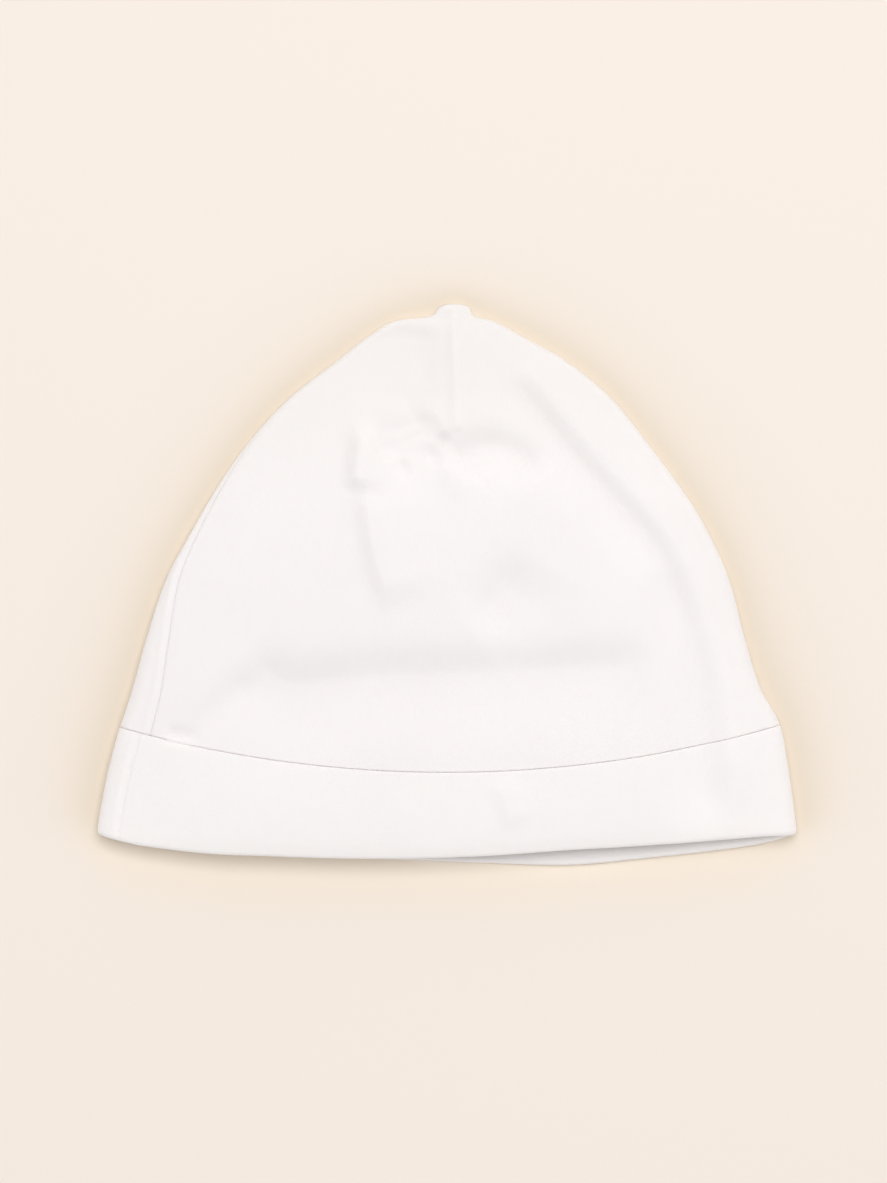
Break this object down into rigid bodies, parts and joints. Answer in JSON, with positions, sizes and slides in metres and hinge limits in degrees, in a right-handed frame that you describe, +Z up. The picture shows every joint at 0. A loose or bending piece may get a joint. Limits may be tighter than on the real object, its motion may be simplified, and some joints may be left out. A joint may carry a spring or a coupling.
{
  "type": "baby nightcap",
  "caption": "Small white jersey cap with a centre dart, a nub at the top and a turned up band, lying flat on its back half.",
  "frame": {"origin": "middle of the cap's outline, on the surface that it lies on", "axes": "+X across the cap, +Y from the opening to the nub, +Z up from the surface"},
  "size_m": [0.1745, 0.1403, 0.0149],
  "materials": {
    "crown_jersey": "soft white cotton jersey",
    "cuff_jersey": "soft white cotton jersey, double"
  },
  "bodies": {
    "root": {"crown_front": "crown_jersey", "crown_back": "crown_jersey", "cuff": "cuff_jersey"}
  },
  "joints": []
}
